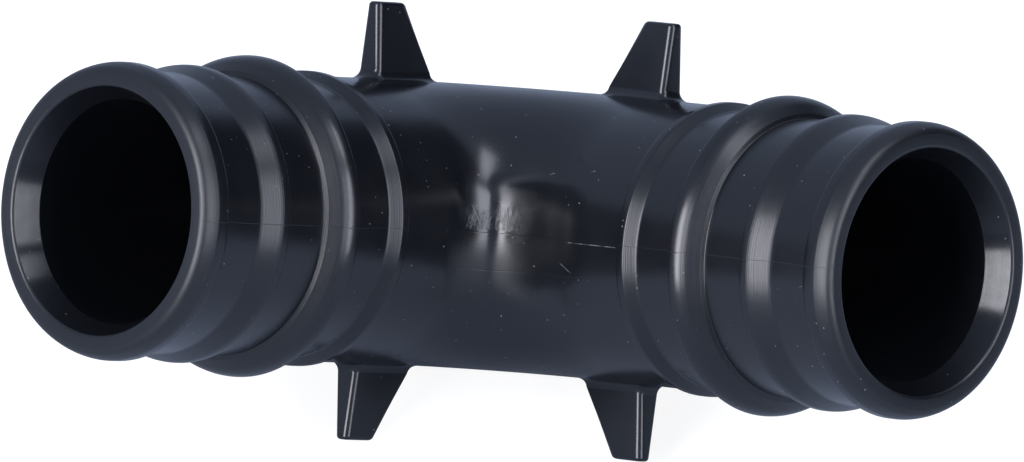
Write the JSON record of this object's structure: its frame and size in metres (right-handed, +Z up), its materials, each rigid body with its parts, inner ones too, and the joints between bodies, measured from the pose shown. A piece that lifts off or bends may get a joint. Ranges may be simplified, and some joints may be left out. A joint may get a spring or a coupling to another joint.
{
  "type": "pipe expansion elbow",
  "caption": "Black plastic right-angle elbow for expansion-fitted plastic pipe, with ribbed spigots, a swept waterway and stop tabs.",
  "frame": {"origin": "middle of the bounding box's base, on the surface that the elbow lies on", "axes": "+Z up; X from one open end to the other; the open ends face -Y and upwards, each at 45 degrees to the plane between them"},
  "size_m": [0.0962, 0.0478, 0.0456],
  "materials": {
    "body": "satin moulded plastic"
  },
  "bodies": {
    "root": {"elbow": "body"}
  },
  "joints": []
}
